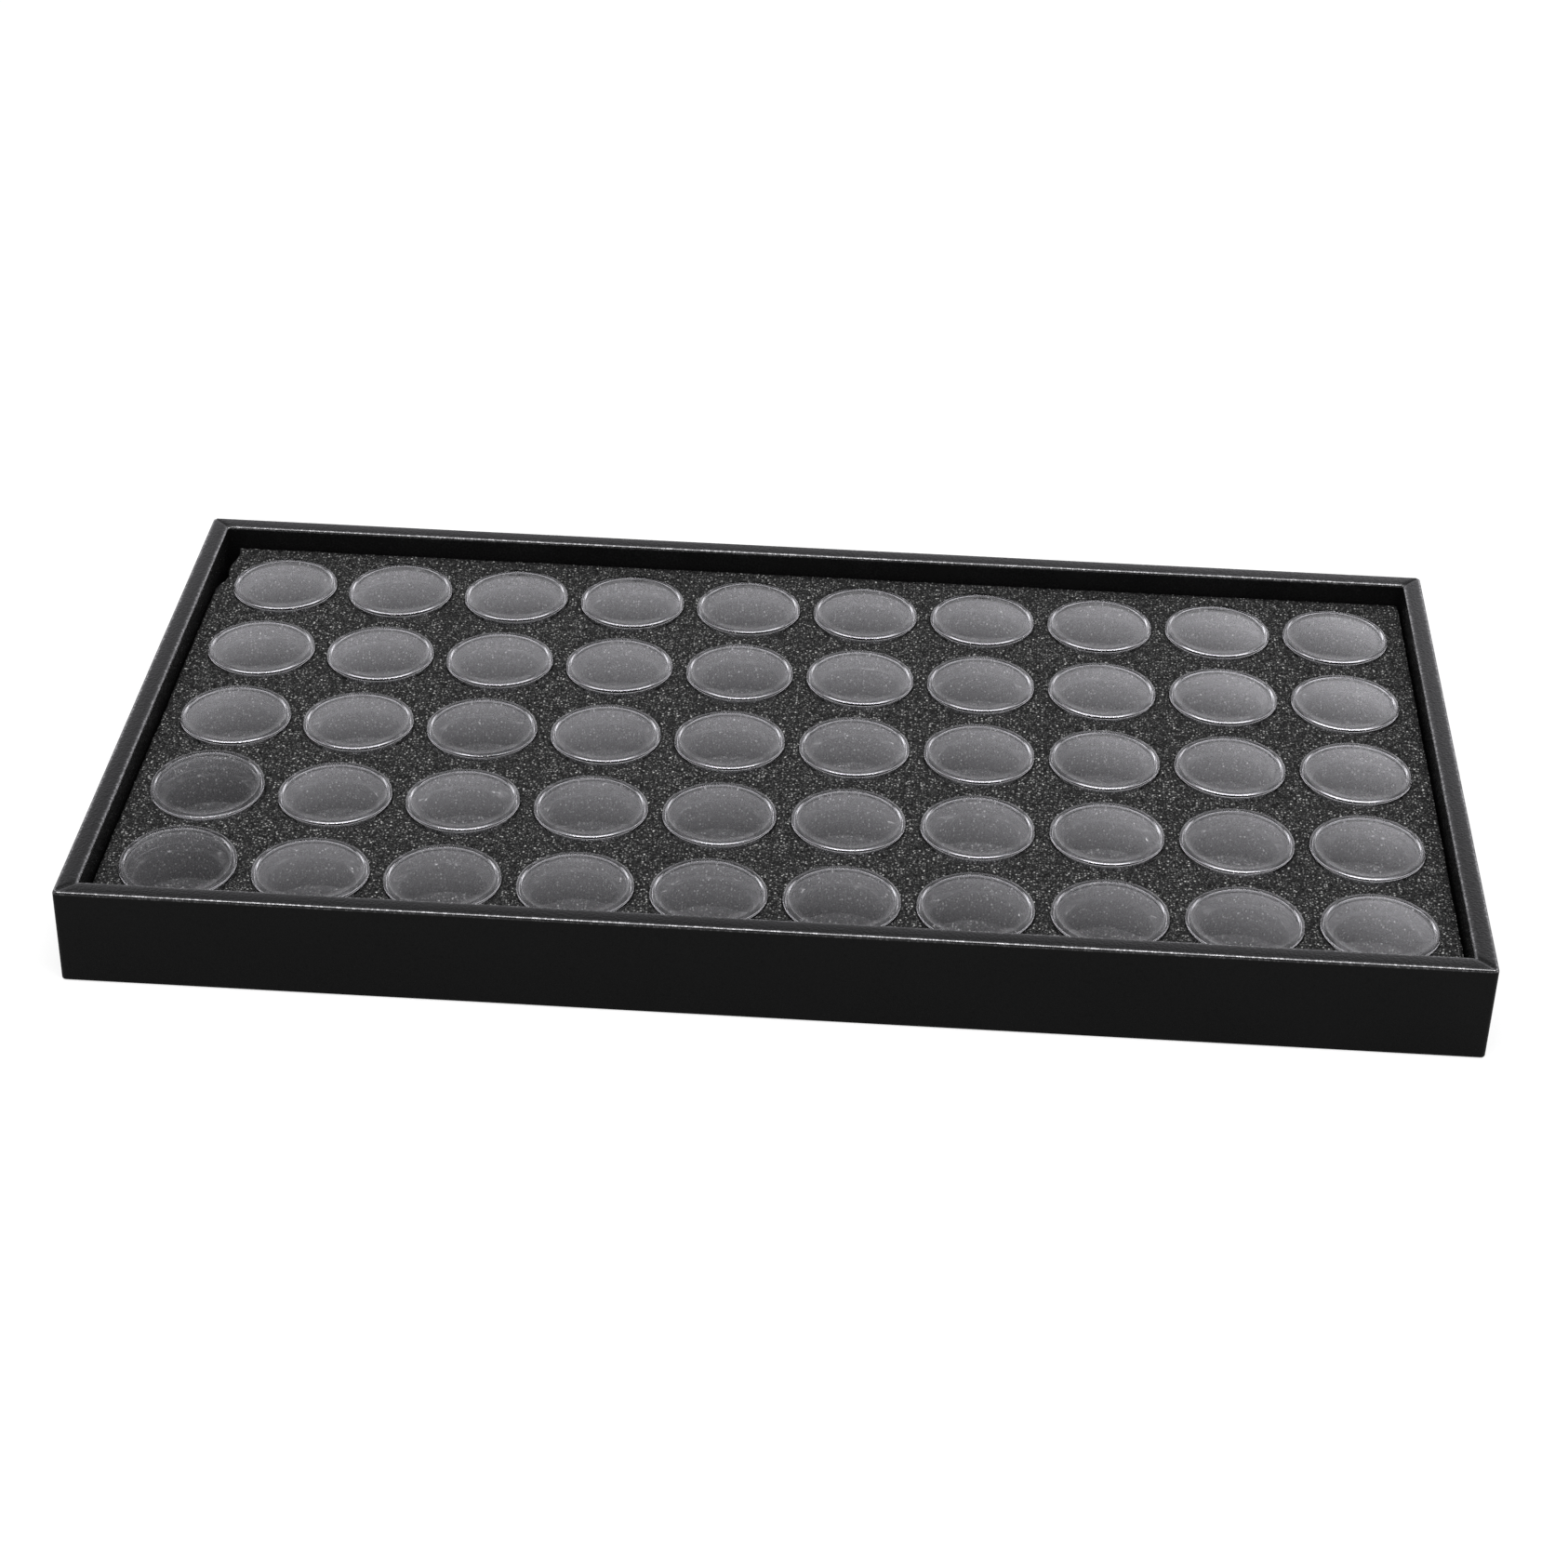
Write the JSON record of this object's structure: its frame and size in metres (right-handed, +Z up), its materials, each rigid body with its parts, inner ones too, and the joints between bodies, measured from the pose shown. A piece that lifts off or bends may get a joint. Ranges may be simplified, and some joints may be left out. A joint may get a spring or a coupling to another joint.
{
  "type": "nail art storage box",
  "caption": "Shallow black leatherette tray with a punched foam insert holding clear round jars, each with a push-on lid that lifts off.",
  "frame": {"origin": "middle of the underside, on the surface that the tray stands on", "axes": "+X along the long side to the right, +Y from the front rail to the rear rail, +Z up out of the open top"},
  "size_m": [0.375, 0.206, 0.0282],
  "materials": {
    "leatherette": "fine pebble grain, satin",
    "wood_core": "sawn, hidden under the wrap",
    "base_board": "dyed fibreboard, matt",
    "underside_paper": "matt black lining paper",
    "foam": "charcoal foam, matt, with fine sparkle",
    "clear_cup": "clear moulded styrene",
    "clear_lid": "clear moulded styrene"
  },
  "bodies": {
    "tray": {"front_rail": "wood_core", "rear_rail": "wood_core", "left_rail": "wood_core", "right_rail": "wood_core", "base_panel": "base_board", "leatherette_wrap": "leatherette", "underside_sheet": "underside_paper"},
    "insert": {"foam_backing": "foam", "foam_sheet": "foam", "jar_cups": "clear_cup"},
    "lid_r1_c1": {"lid_r1_c1": "clear_lid"},
    "lid_r1_c2": {"lid_r1_c2": "clear_lid"},
    "lid_r1_c3": {"lid_r1_c3": "clear_lid"},
    "lid_r1_c4": {"lid_r1_c4": "clear_lid"},
    "lid_r1_c5": {"lid_r1_c5": "clear_lid"},
    "lid_r1_c6": {"lid_r1_c6": "clear_lid"},
    "lid_r1_c7": {"lid_r1_c7": "clear_lid"},
    "lid_r1_c8": {"lid_r1_c8": "clear_lid"},
    "lid_r1_c9": {"lid_r1_c9": "clear_lid"},
    "lid_r1_c10": {"lid_r1_c10": "clear_lid"},
    "lid_r2_c1": {"lid_r2_c1": "clear_lid"},
    "lid_r2_c2": {"lid_r2_c2": "clear_lid"},
    "lid_r2_c3": {"lid_r2_c3": "clear_lid"},
    "lid_r2_c4": {"lid_r2_c4": "clear_lid"},
    "lid_r2_c5": {"lid_r2_c5": "clear_lid"},
    "lid_r2_c6": {"lid_r2_c6": "clear_lid"},
    "lid_r2_c7": {"lid_r2_c7": "clear_lid"},
    "lid_r2_c8": {"lid_r2_c8": "clear_lid"},
    "lid_r2_c9": {"lid_r2_c9": "clear_lid"},
    "lid_r2_c10": {"lid_r2_c10": "clear_lid"},
    "lid_r3_c1": {"lid_r3_c1": "clear_lid"},
    "lid_r3_c2": {"lid_r3_c2": "clear_lid"},
    "lid_r3_c3": {"lid_r3_c3": "clear_lid"},
    "lid_r3_c4": {"lid_r3_c4": "clear_lid"},
    "lid_r3_c5": {"lid_r3_c5": "clear_lid"},
    "lid_r3_c6": {"lid_r3_c6": "clear_lid"},
    "lid_r3_c7": {"lid_r3_c7": "clear_lid"},
    "lid_r3_c8": {"lid_r3_c8": "clear_lid"},
    "lid_r3_c9": {"lid_r3_c9": "clear_lid"},
    "lid_r3_c10": {"lid_r3_c10": "clear_lid"},
    "lid_r4_c1": {"lid_r4_c1": "clear_lid"},
    "lid_r4_c2": {"lid_r4_c2": "clear_lid"},
    "lid_r4_c3": {"lid_r4_c3": "clear_lid"},
    "lid_r4_c4": {"lid_r4_c4": "clear_lid"},
    "lid_r4_c5": {"lid_r4_c5": "clear_lid"},
    "lid_r4_c6": {"lid_r4_c6": "clear_lid"},
    "lid_r4_c7": {"lid_r4_c7": "clear_lid"},
    "lid_r4_c8": {"lid_r4_c8": "clear_lid"},
    "lid_r4_c9": {"lid_r4_c9": "clear_lid"},
    "lid_r4_c10": {"lid_r4_c10": "clear_lid"},
    "lid_r5_c1": {"lid_r5_c1": "clear_lid"},
    "lid_r5_c2": {"lid_r5_c2": "clear_lid"},
    "lid_r5_c3": {"lid_r5_c3": "clear_lid"},
    "lid_r5_c4": {"lid_r5_c4": "clear_lid"},
    "lid_r5_c5": {"lid_r5_c5": "clear_lid"},
    "lid_r5_c6": {"lid_r5_c6": "clear_lid"},
    "lid_r5_c7": {"lid_r5_c7": "clear_lid"},
    "lid_r5_c8": {"lid_r5_c8": "clear_lid"},
    "lid_r5_c9": {"lid_r5_c9": "clear_lid"},
    "lid_r5_c10": {"lid_r5_c10": "clear_lid"}
  },
  "joints": [
    {"name": "insert_lift", "type": "slide", "parent": "tray", "child": "insert", "axis": [0, 0, 1], "range_m": [0, 0.03]},
    {"name": "lid_r1_c1_lift", "type": "slide", "parent": "insert", "child": "lid_r1_c1", "axis": [0, 0, 1], "range_m": [0, 0.022]},
    {"name": "lid_r1_c2_lift", "type": "slide", "parent": "insert", "child": "lid_r1_c2", "axis": [0, 0, 1], "range_m": [0, 0.022]},
    {"name": "lid_r1_c3_lift", "type": "slide", "parent": "insert", "child": "lid_r1_c3", "axis": [0, 0, 1], "range_m": [0, 0.022]},
    {"name": "lid_r1_c4_lift", "type": "slide", "parent": "insert", "child": "lid_r1_c4", "axis": [0, 0, 1], "range_m": [0, 0.022]},
    {"name": "lid_r1_c5_lift", "type": "slide", "parent": "insert", "child": "lid_r1_c5", "axis": [0, 0, 1], "range_m": [0, 0.022]},
    {"name": "lid_r1_c6_lift", "type": "slide", "parent": "insert", "child": "lid_r1_c6", "axis": [0, 0, 1], "range_m": [0, 0.022]},
    {"name": "lid_r1_c7_lift", "type": "slide", "parent": "insert", "child": "lid_r1_c7", "axis": [0, 0, 1], "range_m": [0, 0.022]},
    {"name": "lid_r1_c8_lift", "type": "slide", "parent": "insert", "child": "lid_r1_c8", "axis": [0, 0, 1], "range_m": [0, 0.022]},
    {"name": "lid_r1_c9_lift", "type": "slide", "parent": "insert", "child": "lid_r1_c9", "axis": [0, 0, 1], "range_m": [0, 0.022]},
    {"name": "lid_r1_c10_lift", "type": "slide", "parent": "insert", "child": "lid_r1_c10", "axis": [0, 0, 1], "range_m": [0, 0.022]},
    {"name": "lid_r2_c1_lift", "type": "slide", "parent": "insert", "child": "lid_r2_c1", "axis": [0, 0, 1], "range_m": [0, 0.022]},
    {"name": "lid_r2_c2_lift", "type": "slide", "parent": "insert", "child": "lid_r2_c2", "axis": [0, 0, 1], "range_m": [0, 0.022]},
    {"name": "lid_r2_c3_lift", "type": "slide", "parent": "insert", "child": "lid_r2_c3", "axis": [0, 0, 1], "range_m": [0, 0.022]},
    {"name": "lid_r2_c4_lift", "type": "slide", "parent": "insert", "child": "lid_r2_c4", "axis": [0, 0, 1], "range_m": [0, 0.022]},
    {"name": "lid_r2_c5_lift", "type": "slide", "parent": "insert", "child": "lid_r2_c5", "axis": [0, 0, 1], "range_m": [0, 0.022]},
    {"name": "lid_r2_c6_lift", "type": "slide", "parent": "insert", "child": "lid_r2_c6", "axis": [0, 0, 1], "range_m": [0, 0.022]},
    {"name": "lid_r2_c7_lift", "type": "slide", "parent": "insert", "child": "lid_r2_c7", "axis": [0, 0, 1], "range_m": [0, 0.022]},
    {"name": "lid_r2_c8_lift", "type": "slide", "parent": "insert", "child": "lid_r2_c8", "axis": [0, 0, 1], "range_m": [0, 0.022]},
    {"name": "lid_r2_c9_lift", "type": "slide", "parent": "insert", "child": "lid_r2_c9", "axis": [0, 0, 1], "range_m": [0, 0.022]},
    {"name": "lid_r2_c10_lift", "type": "slide", "parent": "insert", "child": "lid_r2_c10", "axis": [0, 0, 1], "range_m": [0, 0.022]},
    {"name": "lid_r3_c1_lift", "type": "slide", "parent": "insert", "child": "lid_r3_c1", "axis": [0, 0, 1], "range_m": [0, 0.022]},
    {"name": "lid_r3_c2_lift", "type": "slide", "parent": "insert", "child": "lid_r3_c2", "axis": [0, 0, 1], "range_m": [0, 0.022]},
    {"name": "lid_r3_c3_lift", "type": "slide", "parent": "insert", "child": "lid_r3_c3", "axis": [0, 0, 1], "range_m": [0, 0.022]},
    {"name": "lid_r3_c4_lift", "type": "slide", "parent": "insert", "child": "lid_r3_c4", "axis": [0, 0, 1], "range_m": [0, 0.022]},
    {"name": "lid_r3_c5_lift", "type": "slide", "parent": "insert", "child": "lid_r3_c5", "axis": [0, 0, 1], "range_m": [0, 0.022]},
    {"name": "lid_r3_c6_lift", "type": "slide", "parent": "insert", "child": "lid_r3_c6", "axis": [0, 0, 1], "range_m": [0, 0.022]},
    {"name": "lid_r3_c7_lift", "type": "slide", "parent": "insert", "child": "lid_r3_c7", "axis": [0, 0, 1], "range_m": [0, 0.022]},
    {"name": "lid_r3_c8_lift", "type": "slide", "parent": "insert", "child": "lid_r3_c8", "axis": [0, 0, 1], "range_m": [0, 0.022]},
    {"name": "lid_r3_c9_lift", "type": "slide", "parent": "insert", "child": "lid_r3_c9", "axis": [0, 0, 1], "range_m": [0, 0.022]},
    {"name": "lid_r3_c10_lift", "type": "slide", "parent": "insert", "child": "lid_r3_c10", "axis": [0, 0, 1], "range_m": [0, 0.022]},
    {"name": "lid_r4_c1_lift", "type": "slide", "parent": "insert", "child": "lid_r4_c1", "axis": [0, 0, 1], "range_m": [0, 0.022]},
    {"name": "lid_r4_c2_lift", "type": "slide", "parent": "insert", "child": "lid_r4_c2", "axis": [0, 0, 1], "range_m": [0, 0.022]},
    {"name": "lid_r4_c3_lift", "type": "slide", "parent": "insert", "child": "lid_r4_c3", "axis": [0, 0, 1], "range_m": [0, 0.022]},
    {"name": "lid_r4_c4_lift", "type": "slide", "parent": "insert", "child": "lid_r4_c4", "axis": [0, 0, 1], "range_m": [0, 0.022]},
    {"name": "lid_r4_c5_lift", "type": "slide", "parent": "insert", "child": "lid_r4_c5", "axis": [0, 0, 1], "range_m": [0, 0.022]},
    {"name": "lid_r4_c6_lift", "type": "slide", "parent": "insert", "child": "lid_r4_c6", "axis": [0, 0, 1], "range_m": [0, 0.022]},
    {"name": "lid_r4_c7_lift", "type": "slide", "parent": "insert", "child": "lid_r4_c7", "axis": [0, 0, 1], "range_m": [0, 0.022]},
    {"name": "lid_r4_c8_lift", "type": "slide", "parent": "insert", "child": "lid_r4_c8", "axis": [0, 0, 1], "range_m": [0, 0.022]},
    {"name": "lid_r4_c9_lift", "type": "slide", "parent": "insert", "child": "lid_r4_c9", "axis": [0, 0, 1], "range_m": [0, 0.022]},
    {"name": "lid_r4_c10_lift", "type": "slide", "parent": "insert", "child": "lid_r4_c10", "axis": [0, 0, 1], "range_m": [0, 0.022]},
    {"name": "lid_r5_c1_lift", "type": "slide", "parent": "insert", "child": "lid_r5_c1", "axis": [0, 0, 1], "range_m": [0, 0.022]},
    {"name": "lid_r5_c2_lift", "type": "slide", "parent": "insert", "child": "lid_r5_c2", "axis": [0, 0, 1], "range_m": [0, 0.022]},
    {"name": "lid_r5_c3_lift", "type": "slide", "parent": "insert", "child": "lid_r5_c3", "axis": [0, 0, 1], "range_m": [0, 0.022]},
    {"name": "lid_r5_c4_lift", "type": "slide", "parent": "insert", "child": "lid_r5_c4", "axis": [0, 0, 1], "range_m": [0, 0.022]},
    {"name": "lid_r5_c5_lift", "type": "slide", "parent": "insert", "child": "lid_r5_c5", "axis": [0, 0, 1], "range_m": [0, 0.022]},
    {"name": "lid_r5_c6_lift", "type": "slide", "parent": "insert", "child": "lid_r5_c6", "axis": [0, 0, 1], "range_m": [0, 0.022]},
    {"name": "lid_r5_c7_lift", "type": "slide", "parent": "insert", "child": "lid_r5_c7", "axis": [0, 0, 1], "range_m": [0, 0.022]},
    {"name": "lid_r5_c8_lift", "type": "slide", "parent": "insert", "child": "lid_r5_c8", "axis": [0, 0, 1], "range_m": [0, 0.022]},
    {"name": "lid_r5_c9_lift", "type": "slide", "parent": "insert", "child": "lid_r5_c9", "axis": [0, 0, 1], "range_m": [0, 0.022]},
    {"name": "lid_r5_c10_lift", "type": "slide", "parent": "insert", "child": "lid_r5_c10", "axis": [0, 0, 1], "range_m": [0, 0.022]}
  ]
}
